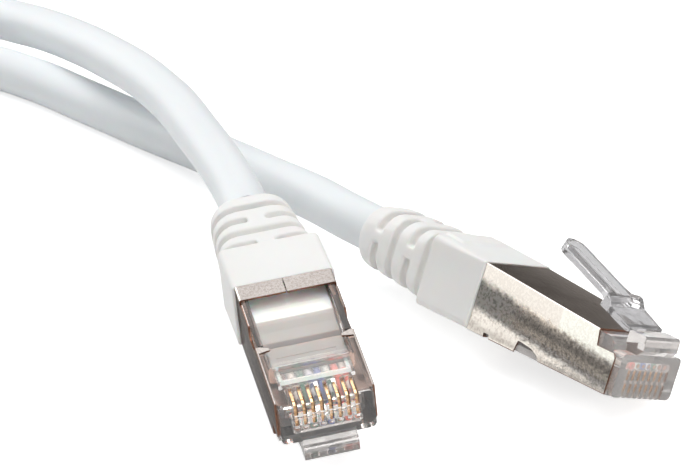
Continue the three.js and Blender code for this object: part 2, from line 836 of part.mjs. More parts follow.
// A tube through points, its section kept upright, with closed ends.
function sweep(points, radius, sides) {
  const positions = [];
  const index = [];
  const up = new THREE.Vector3(0, 0, 1);
  points.forEach((point, i) => {
    const before = points[Math.max(0, i - 1)];
    const after = points[Math.min(points.length - 1, i + 1)];
    const ahead = after.clone().sub(before).normalize();
    const across = ahead.clone().cross(up).normalize();
    const upright = across.clone().cross(ahead);
    for (let k = 0; k < sides; k += 1) {
      const angle = 2 * Math.PI * k / sides;
      const p = point.clone()
        .addScaledVector(across, radius * Math.sin(angle))
        .addScaledVector(upright, radius * Math.cos(angle));
      positions.push(p.x, p.y, p.z);
    }
  });
  const rings = points.length;
  for (let ring = 0; ring < rings - 1; ring += 1) {
    for (let k = 0; k < sides; k += 1) {
      const a = ring * sides + k;
      const b = ring * sides + (k + 1) % sides;
      index.push(a, b, a + sides, b, b + sides, a + sides);
    }
  }
  const last = (rings - 1) * sides;
  for (let k = 1; k < sides - 1; k += 1) {
    index.push(0, k + 1, k);
    index.push(last, last + k, last + k + 1);
  }
  const geometry = new THREE.BufferGeometry();
  geometry.setAttribute('position', new THREE.Float32BufferAttribute(positions, 3));
  geometry.setIndex(index);
  geometry.computeVertexNormals();
  return geometry;
}

// Least distance between the coil's skin and itself, away from its own bend.
function leastGap(points) {
  const apart = Math.ceil(2.5 * cordDiameter / points[2].distanceTo(points[1]));
  let least = Infinity;
  for (let i = 0; i < points.length; i += 1) {
    for (let j = i + apart; j < points.length; j += 1) {
      least = Math.min(least, points[i].distanceTo(points[j]));
    }
  }
  return least - cordDiameter;
}

function buildCoil() {
  const points = coilCentreLine();
  const piece = new THREE.Mesh(sweep(points, cordDiameter / 2, coilSides), cordJacket());
  piece.name = 'cord_coil';
  console.log('coil length', curveLength(points).toFixed(1), 'ends',
    points[0].toArray().join(' '), points[points.length - 1].toArray().join(' '));
  console.log('least gap of the coil to itself', leastGap(points).toFixed(2), 'mm');
  return piece;
}

// -------------------------------------------------------------- assembly
const group = new THREE.Group();
for (const letter of ['a', 'b']) {
  const plug = buildPlug(letter);
  layDown(plug, letter);
  group.add(plug);
}
group.add(buildStrand('cord_strand_a', strandA));
group.add(buildStrand('cord_strand_b', strandB));
group.add(buildCoil());
export default group;
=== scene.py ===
"""Shielded ethernet patch cable: two clear eight-contact plugs with white boots
on one white round cord. Metres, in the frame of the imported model."""

import json
import math

import bmesh
import bpy
from mathutils import Matrix, Vector


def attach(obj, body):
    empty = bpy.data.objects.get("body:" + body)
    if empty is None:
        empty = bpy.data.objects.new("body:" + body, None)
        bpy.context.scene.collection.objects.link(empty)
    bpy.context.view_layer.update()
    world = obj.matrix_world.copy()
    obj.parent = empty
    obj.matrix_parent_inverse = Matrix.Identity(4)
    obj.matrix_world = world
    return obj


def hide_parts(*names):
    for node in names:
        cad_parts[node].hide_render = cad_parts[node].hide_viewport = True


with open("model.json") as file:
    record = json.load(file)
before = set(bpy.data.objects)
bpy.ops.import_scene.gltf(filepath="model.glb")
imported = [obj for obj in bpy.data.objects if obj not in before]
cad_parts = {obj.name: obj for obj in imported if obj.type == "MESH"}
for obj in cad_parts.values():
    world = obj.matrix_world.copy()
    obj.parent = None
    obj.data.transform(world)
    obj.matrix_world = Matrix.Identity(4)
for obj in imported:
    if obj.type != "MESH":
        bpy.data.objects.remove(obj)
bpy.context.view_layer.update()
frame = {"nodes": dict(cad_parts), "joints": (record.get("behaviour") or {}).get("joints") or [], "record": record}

# ---------------------------------------------------------------- camera
# A long lens looks down on both plugs from the front, as the photograph does.
# The picture is 700 pixels wide, and the lens is worked out from that.
camera_place = Vector((0.29034, -0.30575, 0.2253))
camera_target = Vector((-0.03056, 0.02655, 0.0))
sensor_width = 36.0
picture_width = 700
focal_pixels = 4000

camera_data = bpy.data.cameras.new("photo_camera")
camera_data.sensor_width = sensor_width
camera_data.lens = sensor_width * focal_pixels / picture_width
camera_data.clip_start = 0.01
camera_data.clip_end = 20.0
camera = bpy.data.objects.new("photo_camera", camera_data)
camera.location = camera_place
camera.rotation_euler = (camera_target - camera_place).to_track_quat("-Z", "Y").to_euler()
bpy.context.scene.collection.objects.link(camera)
bpy.context.scene.camera = camera


# ------------------------------------------------------------------ cord
# One round cord of soft PVC over foil screened pairs. It leaves boot A, runs
# out of the picture into a neat coil and comes back to boot B.
def srgb(code):
    """A linear colour from an sRGB hex value."""
    channels = [int(code[i:i + 2], 16) / 255 for i in (1, 3, 5)]
    linear = [c / 12.92 if c <= 0.04045 else ((c + 0.055) / 1.055) ** 2.4 for c in channels]
    return (*linear, 1.0)


def add(tree, kind, links=None, **settings):
    """Adds a node. Each link is an input's name or number and its value or the output it reads."""
    node = tree.nodes.new(kind)
    for name, value in settings.items():
        setattr(node, name, value)
    for key, value in (links or {}).items():
        if isinstance(value, bpy.types.NodeSocket):
            tree.links.new(value, node.inputs[key])
        else:
            node.inputs[key].default_value = value
    return node


def new_material(name):
    """A material with an empty node tree and its output."""
    material = bpy.data.materials.new(name)
    material.use_nodes = True
    tree = material.node_tree
    tree.nodes.clear()
    output = tree.nodes.new("ShaderNodeOutputMaterial")
    return material, tree, output


# PVC jacket, extruded: an even cool white with a satin skin. The pairs inside
# press through as long soft waves, and the skin has a fine matte grain.
def jacket_pvc():
    wave_length = 0.011
    grain_size = 0.00025
    material, tree, output = new_material("jacket_pvc")
    place = add(tree, "ShaderNodeTexCoord").outputs["Object"]
    waves = add(tree, "ShaderNodeTexNoise", {"Vector": place, "Scale": 1 / wave_length, "Detail": 1.0})
    grain = add(tree, "ShaderNodeTexNoise", {"Vector": place, "Scale": 1 / grain_size, "Detail": 2.0})
    tone = add(tree, "ShaderNodeMix", {
        "Factor": waves.outputs["Fac"], 6: srgb("#e9edef"), 7: srgb("#f0f3f4")}, data_type="RGBA")
    wave_bump = add(tree, "ShaderNodeBump", {
        "Height": waves.outputs["Fac"], "Strength": 0.5, "Distance": 0.0006})
    grain_bump = add(tree, "ShaderNodeBump", {
        "Height": grain.outputs["Fac"], "Strength": 0.12, "Distance": 0.00004,
        "Normal": wave_bump.outputs["Normal"]})
    rough = add(tree, "ShaderNodeMapRange", {"Value": grain.outputs["Fac"], "To Min": 0.38, "To Max": 0.52})
    shader = add(tree, "ShaderNodeBsdfPrincipled", {
        "Base Color": tone.outputs[2], "Roughness": rough.outputs["Result"],
        "IOR": 1.53, "Subsurface Weight": 0.12, "Subsurface Scale": 0.0008,
        "Normal": grain_bump.outputs["Normal"]})
    tree.links.new(shader.outputs[0], output.inputs["Surface"])
    return material


cord_diameter = 0.006
strand_a_route = [
    (-0.0263, 0.0041, 0.0121),
    (-0.0314, 0.0074, 0.0125),
    (-0.0395, 0.0119, 0.0128),
    (-0.0480, 0.0164, 0.0126),
    (-0.0569, 0.0212, 0.0120),
    (-0.0629, 0.0240, 0.0114),
    (-0.0697, 0.0268, 0.0107),
    (-0.0777, 0.0292, 0.0099),
    (-0.0872, 0.0316, 0.0088),
    (-0.0969, 0.0338, 0.0072),
    (-0.1059, 0.0349, 0.0057),
    (-0.1149, 0.0348, 0.0049),
    (-0.1239, 0.0332, 0.0059),
    (-0.1319, 0.0309, 0.0080),
    (-0.1394, 0.0294, 0.0095),
]
strand_b_route = [
    (-0.0185, 0.0197, 0.0071),
    (-0.0245, 0.0201, 0.0072),
    (-0.0318, 0.0214, 0.0069),
    (-0.0403, 0.0227, 0.0061),
    (-0.0481, 0.0242, 0.0052),
    (-0.0572, 0.0257, 0.0042),
    (-0.0684, 0.0270, 0.0032),
    (-0.0809, 0.0275, 0.0030),
    (-0.0937, 0.0274, 0.0030),
    (-0.1021, 0.0257, 0.0030),
    (-0.1093, 0.0210, 0.0030),
    (-0.1140, 0.0138, 0.0030),
    (-0.1157, 0.0054, 0.0030),
]
coil_centre = Vector((-0.1519, -0.0069))
coil_mean_radius = 0.030
coil_turns = 3.75
coil_pitch = 0.0066
coil_layer_height = 0.0066
coil_points_per_turn = 16


def coil_point(turn):
    """The coil winds in on the upper layer, climbs down halfway and winds out on the ground."""
    inner_radius = coil_mean_radius - coil_pitch * coil_turns / 4
    radius = inner_radius + coil_pitch * abs(turn)
    angle = 2 * math.pi * (turn - coil_turns / 2)
    climb = min(1.0, max(0.0, 0.5 - turn * 2))
    ease = climb * climb * (3 - 2 * climb)
    return (
        coil_centre.x + radius * math.cos(angle),
        coil_centre.y + radius * math.sin(angle),
        cord_diameter / 2 + coil_layer_height * ease)


coil_steps = round(coil_turns * coil_points_per_turn)
coil_route = [coil_point(coil_turns * (i / coil_steps - 0.5)) for i in range(coil_steps + 1)]
cord_route = strand_a_route + coil_route + strand_b_route[::-1]

cord_curve = bpy.data.curves.new("cord_jacket", "CURVE")
cord_curve.dimensions = "3D"
cord_curve.bevel_depth = cord_diameter / 2
cord_curve.bevel_resolution = 8
cord_curve.resolution_u = 10
cord_line = cord_curve.splines.new("BEZIER")
cord_line.bezier_points.add(len(cord_route) - 1)
for point, place in zip(cord_line.bezier_points, cord_route):
    point.co = place
    point.handle_left_type = "AUTO"
    point.handle_right_type = "AUTO"
cord_jacket = bpy.data.objects.new("cord_jacket", cord_curve)
bpy.context.scene.collection.objects.link(cord_jacket)
cord_curve.materials.append(jacket_pvc())
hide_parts("cord_strand_a", "cord_coil", "cord_strand_b")
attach(cord_jacket, "cable")


# ------------------------------------------------------------ conductors
# Eight insulated copper wires lie side by side in each plug, cut flush behind
# the nose. Every second one is white with rings of its partner's colour.
conductor_sides = 20
copper_share = 0.55
copper_stands_out = 0.00003
ring_pitch = 0.0022
ring_level = 0.45  # of the wave along the wire; above it the ring is printed
hinge_place = Vector((0.0, 0.0021, 0.0074))  # of the latch, from the nose's face and foot
wire_names = (
    ("orange_white", "#e4ddd5", "#ece7e0", "#dd5335"),
    ("orange", "#dc452e", "#ec5c42", None),
    ("green_white", "#dbe3dd", "#e5ebe6", "#1f6a52"),
    ("blue", "#24489a", "#335db4", None),
    ("blue_white", "#dadce7", "#e5e6ee", "#22407f"),
    ("green", "#135c46", "#1f785b", None),
    ("brown_white", "#ddd4cc", "#e8e0d9", "#6a4336"),
    ("brown", "#5f3624", "#774a34", None),
)


def plug_frame(letter):
    """Where a plug's own axes lie: X across the contacts, Y back from the nose, Z to the latch."""
    hinge = next(j for j in frame["joints"] if j["child"] == f"latch_{letter}")
    across = -Vector(hinge["axis"])
    back = -Vector(next(m for m in frame["record"]["mounts"] if m["name"] == f"nose_{letter}")["axis"])
    turn = Matrix((across, back, across.cross(back))).transposed()
    nose = Vector(hinge["pos_m"]) - turn @ hinge_place
    return Matrix.Translation(nose) @ turn.to_4x4()


def own_box(node, place):
    """A CAD node's lowest and highest corners along its plug's own axes."""
    corners = [place.inverted() @ v.co for v in frame["nodes"][node].data.vertices]
    low = Vector(min(c[i] for c in corners) for i in range(3))
    high = Vector(max(c[i] for c in corners) for i in range(3))
    return low, high


def finished_piece(name, shape, material, node, body):
    """Makes an object of a shape, lets it stand for its CAD node and puts it on its body."""
    data = bpy.data.meshes.new(name)
    shape.to_mesh(data)
    shape.free()
    piece = bpy.data.objects.new(name, data)
    bpy.context.scene.collection.objects.link(piece)
    data.materials.append(material)
    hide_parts(node)
    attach(piece, body)
    return piece


# Polyethylene insulation, extruded over the copper: a waxy sheen, and on the
# white wires rings of colour printed round them.
def insulation_polyethylene(name, ground, pale, rings):
    skin_grain = 0.0006
    material, tree, output = new_material(f"insulation_{name}")
    along = add(tree, "ShaderNodeAttribute", attribute_name="along")
    place = add(tree, "ShaderNodeTexCoord").outputs["Object"]
    skin = add(tree, "ShaderNodeTexNoise", {"Vector": place, "Scale": 1 / skin_grain, "Detail": 2.0})
    tint = add(tree, "ShaderNodeMix", {
        "Factor": skin.outputs["Fac"], 6: srgb(ground), 7: srgb(pale)}, data_type="RGBA")
    colour = tint.outputs[2]
    if rings:
        turn = add(tree, "ShaderNodeMath", {
            0: along.outputs["Fac"], 1: 2 * math.pi / ring_pitch}, operation="MULTIPLY")
        wave = add(tree, "ShaderNodeMath", {0: turn.outputs[0]}, operation="SINE")
        band = add(tree, "ShaderNodeMath", {0: wave.outputs[0], 1: ring_level}, operation="GREATER_THAN")
        colour = add(tree, "ShaderNodeMix", {
            "Factor": band.outputs[0], 6: tint.outputs[2], 7: srgb(rings)}, data_type="RGBA").outputs[2]
    bump = add(tree, "ShaderNodeBump", {
        "Height": skin.outputs["Fac"], "Strength": 0.2, "Distance": 0.00002})
    shader = add(tree, "ShaderNodeBsdfPrincipled", {
        "Base Color": colour, "Roughness": 0.38, "IOR": 1.51, "Normal": bump.outputs["Normal"]})
    tree.links.new(shader.outputs[0], output.inputs["Surface"])
    return material


# Bare copper, sheared off: bright and slightly rough where the cutter passed.
def sheared_copper():
    shear_mark = 0.0001
    material, tree, output = new_material("sheared_copper")
    place = add(tree, "ShaderNodeTexCoord").outputs["Object"]
    shear = add(tree, "ShaderNodeTexNoise", {"Vector": place, "Scale": 1 / shear_mark, "Detail": 2.0})
    tone = add(tree, "ShaderNodeMix", {
        "Factor": shear.outputs["Fac"], 6: srgb("#a5603c"), 7: srgb("#d18a5f")}, data_type="RGBA")
    shader = add(tree, "ShaderNodeBsdfPrincipled", {
        "Base Color": tone.outputs[2], "Metallic": 1.0, "Roughness": 0.35})
    tree.links.new(shader.outputs[0], output.inputs["Surface"])
    return material


def conductor_shape(low, high, place):
    """A round wire with its copper core showing at the cut end."""
    radius = (high.x - low.x) / 2
    centre = Vector(((low.x + high.x) / 2, low.y, (low.z + high.z) / 2))
    shape = bmesh.new()
    along = shape.verts.layers.float.new("along")
    bmesh.ops.create_circle(
        shape, cap_ends=True, segments=conductor_sides, radius=radius,
        matrix=Matrix.Translation(centre) @ Matrix.Rotation(math.radians(90), 4, "X"))
    cut_end = shape.faces[:][0]
    grown = bmesh.ops.extrude_face_region(shape, geom=[cut_end])
    far_end = [v for v in grown["geom"] if isinstance(v, bmesh.types.BMVert)]
    bmesh.ops.translate(shape, verts=far_end, vec=(0.0, high.y - low.y, 0.0))
    bmesh.ops.recalc_face_normals(shape, faces=shape.faces)
    shape.faces.ensure_lookup_table()
    for face in shape.faces:
        face.smooth = len(face.verts) == 4
    core = min(shape.faces, key=lambda f: f.calc_center_median().y)
    bmesh.ops.inset_region(shape, faces=[core], thickness=radius * (1 - copper_share))
    bmesh.ops.translate(shape, verts=core.verts, vec=(0.0, -copper_stands_out, 0.0))
    core.material_index = 1
    for vert in shape.verts:
        vert[along] = vert.co.y
    shape.transform(place)
    return shape


copper = sheared_copper()
plug_frames = {letter: plug_frame(letter) for letter in "ab"}
for number, (name, ground, pale, rings) in enumerate(wire_names, start=1):
    insulation = insulation_polyethylene(name, ground, pale, rings)
    for letter, place in plug_frames.items():
        node = f"conductor_{letter}{number}"
        shape = conductor_shape(*own_box(node, place), place)
        wire = finished_piece(f"wire_{letter}{number}", shape, insulation, node, "cable")
        wire.data.materials.append(copper)


# ------------------------------------------------ wire bar, inner mould
# Two polyethylene mouldings in the housing: a frosted comb that lines the
# wires up, and behind it the opaque white block that grips them.
mould_rounding = 0.00012

# The comb reaches over the wires: a strip across its front, then a window that
# bares their colours. Both are brought from the solid's sizes to the shown ones.
comb_strip = 0.0012
comb_window = 0.00085
comb_strip_shown = 0.00105
comb_window_shown = 0.00170
comb_corner = 0.00005
comb_bend = 0.5
comb_reach = 0.004
step_floor = 0.0029
step_filled = 0.00032
same_place = 0.00001


def soften(node, width, segments=2):
    """Joins a CAD node's loose triangles and rounds its edges, as live modifiers."""
    piece = frame["nodes"][node]
    weld = piece.modifiers.new("join_faces", "WELD")
    weld.merge_threshold = 1e-7
    flats = piece.modifiers.new("whole_flats", "DECIMATE")
    flats.decimate_type = "DISSOLVE"
    flats.angle_limit = math.radians(1.0)
    edges = piece.modifiers.new("soft_edges", "BEVEL")
    edges.width = width
    edges.segments = segments
    edges.limit_method = "ANGLE"
    edges.angle_limit = math.radians(25)
    edges.use_clamp_overlap = True
    return piece


def dress(piece, material):
    """Gives a piece one material in place of what it had."""
    piece.data.materials.clear()
    piece.data.materials.append(material)


def own_place(tree, place):
    """A point's place along its plug's own axes, in metres."""
    point = add(tree, "ShaderNodeTexCoord").outputs["Object"]
    return add(tree, "ShaderNodeMapping", {
        "Vector": point, "Location": place.to_translation(), "Rotation": place.to_euler()},
        vector_type="TEXTURE").outputs["Vector"]


# Polyethylene, injection moulded: a soft waxy white that light enters a
# little. Each piece turns from one tone near its front to another behind it.
def moulded_polyethylene(name, place, front, rear, front_end, rear_start):
    mould_grain = 0.00015
    material, tree, output = new_material(name)
    point = own_place(tree, place)
    back = add(tree, "ShaderNodeSeparateXYZ", {"Vector": point}).outputs["Y"]
    depth = add(tree, "ShaderNodeMapRange", {
        "Value": back, "From Min": front_end, "From Max": rear_start})
    grain = add(tree, "ShaderNodeTexNoise", {"Vector": point, "Scale": 1 / mould_grain, "Detail": 2.0})
    tone = add(tree, "ShaderNodeMix", {
        "Factor": depth.outputs["Result"], 6: srgb(front), 7: srgb(rear)}, data_type="RGBA")
    bump = add(tree, "ShaderNodeBump", {
        "Height": grain.outputs["Fac"], "Strength": 0.15, "Distance": 0.00003})
    rough = add(tree, "ShaderNodeMapRange", {
        "Value": grain.outputs["Fac"], "To Min": 0.35, "To Max": 0.5})
    shader = add(tree, "ShaderNodeBsdfPrincipled", {
        "Base Color": tone.outputs[2], "Roughness": rough.outputs["Result"], "IOR": 1.51,
        "Subsurface Weight": 0.8, "Subsurface Scale": 0.0030, "Normal": bump.outputs["Normal"]})
    tree.links.new(shader.outputs[0], output.inputs["Surface"])
    return material


def own_copy(node, place):
    """A CAD node's shape with its triangles merged, along its plug's own axes."""
    shape = bmesh.new()
    shape.from_mesh(frame["nodes"][node].data)
    shape.transform(place.inverted())
    bmesh.ops.remove_doubles(shape, verts=shape.verts, dist=1e-6)
    bmesh.ops.dissolve_limit(
        shape, angle_limit=math.radians(1), verts=shape.verts, edges=shape.edges)
    return shape


def comb_shape(node, place):
    """The wire bar with soft edges, its window open over the full show of the wires."""
    shape = own_copy(node, place)
    nose = own_box(node, place)[0].y
    for vert in shape.verts:
        behind = vert.co.y - nose
        if abs(behind - comb_strip) < same_place:
            vert.co.y = nose + comb_strip_shown
        if abs(behind - comb_strip - comb_window) < same_place:
            vert.co.y = nose + comb_strip_shown + comb_window_shown
        if behind > comb_reach and abs(vert.co.z - step_floor) < same_place:
            vert.co.z -= step_filled
    corners = [edge for edge in shape.edges if edge.is_manifold and edge.calc_face_angle() > comb_bend]
    bmesh.ops.bevel(
        shape, geom=corners, offset=comb_corner, segments=2, profile=0.5, affect="EDGES",
        material=-1, clamp_overlap=True)
    shape.transform(place)
    return shape


for letter, place in plug_frames.items():
    mould_white = moulded_polyethylene(
        f"white_mould_{letter}", place, "#9d9d9b", "#ffffff", 0.0176, 0.0180)
    bar_frosted = moulded_polyethylene(
        f"frosted_bar_{letter}", place, "#c8c9c7", "#8f908e", 0.0080, 0.0086)
    dress(soften(f"inner_mould_{letter}", mould_rounding), mould_white)
    finished_piece(
        f"wire_comb_{letter}", comb_shape(f"wire_bar_{letter}", place), bar_frosted,
        f"wire_bar_{letter}", "cable")


# -------------------------------------------------------------- housings
# The clear body of each plug, injection moulded in polycarbonate, with the
# contact slots in its nose and the block that carries the latch.
housing_rounding = 0.00007
# Plug B's housing is made milkier than plug A's so that its lit nose reads lighter: painted light on one
# polycarbonate.
housing_clearness = {"a": 0.94, "b": 0.78}


def clear_polycarbonate(name, thick, thin, clear):
    """Clear, slightly smoky and milky, with faint flow waves. Lamps shine through it."""
    flow_width = 0.003
    material, tree, output = new_material(name)
    rays = add(tree, "ShaderNodeLightPath")
    place = add(tree, "ShaderNodeTexCoord").outputs["Object"]
    flow = add(tree, "ShaderNodeTexNoise", {"Vector": place, "Scale": 1 / flow_width, "Detail": 2.0})
    bump = add(tree, "ShaderNodeBump", {
        "Height": flow.outputs["Fac"], "Strength": 0.3, "Distance": 0.0001})
    rough = add(tree, "ShaderNodeMapRange", {"Value": flow.outputs["Fac"], "To Min": 0.02, "To Max": 0.06})
    tint = add(tree, "ShaderNodeMix", {
        "Factor": flow.outputs["Fac"], 6: srgb(thick), 7: srgb(thin)}, data_type="RGBA")
    shader = add(tree, "ShaderNodeBsdfPrincipled", {
        "Base Color": tint.outputs[2], "Roughness": rough.outputs["Result"], "IOR": 1.585,
        "Transmission Weight": clear, "Normal": bump.outputs["Normal"]})
    through = add(tree, "ShaderNodeBsdfTransparent", {"Color": srgb("#f9f7f6")})
    mix = add(tree, "ShaderNodeMixShader", {
        0: rays.outputs["Is Shadow Ray"], 1: shader.outputs[0], 2: through.outputs[0]})
    tree.links.new(mix.outputs[0], output.inputs["Surface"])
    return material


for letter in "ab":
    polycarbonate = clear_polycarbonate(
        f"housing_polycarbonate_{letter}", "#efebe7", "#f7f4f2", housing_clearness[letter])
    dress(soften(f"housing_{letter}", housing_rounding), polycarbonate)


# -------------------------------------------------------------- contacts
# Eight blades in each plug, stamped from phosphor bronze and plated with gold.
# Each is pressed down into its slot until its teeth bite through a wire.
blade_rounding = 0.00004


def gold_plate():
    """Gold over nickel on bronze, rubbed a little duller and redder in patches."""
    rub_size = 0.0008
    material, tree, output = new_material("gold_plate")
    place = add(tree, "ShaderNodeTexCoord").outputs["Object"]
    rub = add(tree, "ShaderNodeTexNoise", {"Vector": place, "Scale": 1 / rub_size, "Detail": 3.0})
    tone = add(tree, "ShaderNodeMix", {
        "Factor": rub.outputs["Fac"], 6: srgb("#c79468"), 7: srgb("#f3d3ab")}, data_type="RGBA")
    rough = add(tree, "ShaderNodeMapRange", {"Value": rub.outputs["Fac"], "To Min": 0.34, "To Max": 0.18})
    shader = add(tree, "ShaderNodeBsdfPrincipled", {
        "Base Color": tone.outputs[2], "Metallic": 1.0, "Roughness": rough.outputs["Result"]})
    tree.links.new(shader.outputs[0], output.inputs["Surface"])
    return material


gold = gold_plate()
for letter in "ab":
    for number in range(1, 9):
        dress(soften(f"contact_{letter}{number}", blade_rounding), gold)


# --------------------------------------------------------------- shields
# Thin copper alloy sheet, blanked, folded round each housing and plated with
# nickel. The ferrule that clamps it to the cord is the same metal.
sheet = 0.00025
shield_half_width = 0.00585
fold_radius = 0.00028
band_top = -0.0002
band_front = 0.0208
rim_width = 0.00014
shield_shoulder = 0.0069
inner_side = 0.004
inner_roof = 0.005
inner_floor = 0.0005
rim_level = 0.00002
fold_angle = 35
ferrule_rounding = 0.0001

# How strongly each plug's side plates bulge and twist, which bends what they
# mirror, and the tones of the plates' painted dark reflection band, edge-on gleam,
# dull and bright metal, and painted highlight. The side plates' set is painted
# brighter and the flat plates' set darker, as reflected light and shade on one nickel.
side_belly = {"a": 4.0, "b": 26.0}
side_twist = {"a": 0.0, "b": 5.0}
side_painted_tones = ("#7c7976", "#aaa6a2", "#6d6764", "#ddd3c8", "#f7f0e6", "#fffff4")
flat_painted_tones = ("#b6adaa", "#c0b7b3", "#b4b0ac", "#bcb3ae", "#cac2bd", "#cac2bd")


def nickel_plate(name, place, lift, turn, pebbled, tones):
    """Bright nickel: a fine pebbled skin over the long waves that folding left in the sheet.

    A mottled dark band slanting along the middle of the plate is a painted dark
    reflection. Above it the plate is painted toward its bright tone as reflected light,
    and its front above the band carries a painted highlight."""
    reflection_band_dark, reflection_band_pale, edge, dull, bright, painted_highlight = tones
    middle_height = 0.0045
    middle_back = 0.0200
    reflection_band_rise = 0.1
    reflection_band_height = 0.0020
    reflected_light_from, reflected_light_to = 0.0006, 0.0020
    reflected_light_share = 0.75
    highlight_line = 0.0102
    highlight_width = 0.0001
    reflection_band_ragged = 0.0016
    reflection_band_from, reflection_band_to = 0.0020, 0.0028
    material, tree, output = new_material(name)
    point = own_place(tree, place)
    axes = add(tree, "ShaderNodeSeparateXYZ", {"Vector": point})
    above = add(tree, "ShaderNodeMath", {0: axes.outputs["Z"], 1: middle_height}, operation="SUBTRACT")
    behind = add(tree, "ShaderNodeMath", {0: axes.outputs["Y"], 1: middle_back}, operation="SUBTRACT")
    square = add(tree, "ShaderNodeMath", {0: above.outputs[0], 1: above.outputs[0]}, operation="MULTIPLY")
    belly = add(tree, "ShaderNodeMath", {0: square.outputs[0], 1: -lift}, operation="MULTIPLY")
    twist = add(tree, "ShaderNodeMath", {0: above.outputs[0], 1: behind.outputs[0]}, operation="MULTIPLY")
    height = add(tree, "ShaderNodeMath", {
        0: twist.outputs[0], 1: turn, 2: belly.outputs[0]}, operation="MULTIPLY_ADD")
    pebble = add(tree, "ShaderNodeTexNoise", {"Vector": point, "Scale": 1 / 0.0005, "Detail": 5.0})
    cloud = add(tree, "ShaderNodeTexNoise", {"Vector": point, "Scale": 1 / 0.0035, "Detail": 4.0})
    speck = add(tree, "ShaderNodeTexNoise", {"Vector": point, "Scale": 1 / 0.0003, "Detail": 3.0})
    worn = add(tree, "ShaderNodeMapRange", {
        "Value": speck.outputs["Fac"], "From Min": 0.35, "From Max": 0.55})
    slant = add(tree, "ShaderNodeMath", {
        0: axes.outputs["Y"], 1: -reflection_band_rise, 2: axes.outputs["Z"]}, operation="MULTIPLY_ADD")
    off_line = add(tree, "ShaderNodeMath", {0: slant.outputs[0], 1: reflection_band_height}, operation="SUBTRACT")
    # Above the band the plate is painted toward its bright tone, as reflected light.
    upper = add(tree, "ShaderNodeMapRange", {
        "Value": off_line.outputs[0], "From Min": reflected_light_from, "From Max": reflected_light_to})
    reflected_light = add(tree, "ShaderNodeMath", {0: upper.outputs["Result"], 1: reflected_light_share}, operation="MULTIPLY")
    speck_and_light = add(tree, "ShaderNodeMath", {0: worn.outputs["Result"], 1: reflected_light.outputs[0]}, operation="MAXIMUM")
    # Painted highlight: the plate's front above the band is painted brighter.
    front = add(tree, "ShaderNodeMapRange", {
        "Value": axes.outputs["Y"], "From Min": highlight_line - highlight_width, "From Max": highlight_line + highlight_width,
        "To Min": 1.0, "To Max": 0.0})
    highlight_mask = add(tree, "ShaderNodeMath", {
        0: front.outputs["Result"], 1: upper.outputs["Result"]}, operation="MULTIPLY")
    shine = add(tree, "ShaderNodeMix", {
        "Factor": highlight_mask.outputs[0], 6: srgb(bright), 7: srgb(painted_highlight)}, data_type="RGBA")
    plate = add(tree, "ShaderNodeMix", {
        "Factor": speck_and_light.outputs[0], 6: srgb(dull), 7: shine.outputs[2]}, data_type="RGBA")
    # Painted dark reflection: a mottled dark band slanting along the middle of the plate.
    reflection_band_tone = add(tree, "ShaderNodeMix", {
        "Factor": worn.outputs["Result"], 6: srgb(reflection_band_dark), 7: srgb(reflection_band_pale)}, data_type="RGBA")
    aside = add(tree, "ShaderNodeMath", {0: off_line.outputs[0]}, operation="ABSOLUTE")
    blotch = add(tree, "ShaderNodeTexNoise", {
        "Vector": point, "Scale": 1 / 0.0012, "Detail": 5.0, "Roughness": 0.65})
    ragged = add(tree, "ShaderNodeMath", {
        0: blotch.outputs["Fac"], 1: reflection_band_ragged, 2: aside.outputs[0]}, operation="MULTIPLY_ADD")
    reflection_band_mask = add(tree, "ShaderNodeMapRange", {
        "Value": ragged.outputs[0], "From Min": reflection_band_from, "From Max": reflection_band_to, "To Min": 1.0, "To Max": 0.0},
        interpolation_type="SMOOTHSTEP")
    tone = add(tree, "ShaderNodeMix", {
        "Factor": reflection_band_mask.outputs["Result"], 6: plate.outputs[2], 7: reflection_band_tone.outputs[2]}, data_type="RGBA")
    rough = add(tree, "ShaderNodeMapRange", {"Value": cloud.outputs["Fac"], "To Min": 0.09, "To Max": 0.17})
    folded = add(tree, "ShaderNodeBump", {"Height": height.outputs[0], "Strength": 1.0, "Distance": 1.0})
    bump = add(tree, "ShaderNodeBump", {
        "Height": pebble.outputs["Fac"], "Strength": pebbled, "Distance": 0.00004,
        "Normal": folded.outputs["Normal"]})
    shader = add(tree, "ShaderNodeBsdfPrincipled", {
        "Base Color": tone.outputs[2], "Metallic": 1.0, "Roughness": rough.outputs["Result"],
        "Specular Tint": srgb(edge), "Normal": bump.outputs["Normal"]})
    tree.links.new(shader.outputs[0], output.inputs["Surface"])
    return material


# The sheet's bare edge where the die cut through the plating: coppery and
# drawn out by the cut, so it is rougher than the faces.
def cut_copper_alloy():
    tear_size = 0.0003
    material, tree, output = new_material("cut_copper_alloy")
    place = add(tree, "ShaderNodeTexCoord").outputs["Object"]
    tear = add(tree, "ShaderNodeTexNoise", {"Vector": place, "Scale": 1 / tear_size, "Detail": 3.0})
    tone = add(tree, "ShaderNodeMix", {
        "Factor": tear.outputs["Fac"], 6: srgb("#4a3a33"), 7: srgb("#9c705a")}, data_type="RGBA")
    rough = add(tree, "ShaderNodeMapRange", {"Value": tear.outputs["Fac"], "To Min": 0.3, "To Max": 0.5})
    shader = add(tree, "ShaderNodeBsdfPrincipled", {
        "Base Color": tone.outputs[2], "Metallic": 0.9, "Roughness": rough.outputs["Result"]})
    tree.links.new(shader.outputs[0], output.inputs["Surface"])
    return material


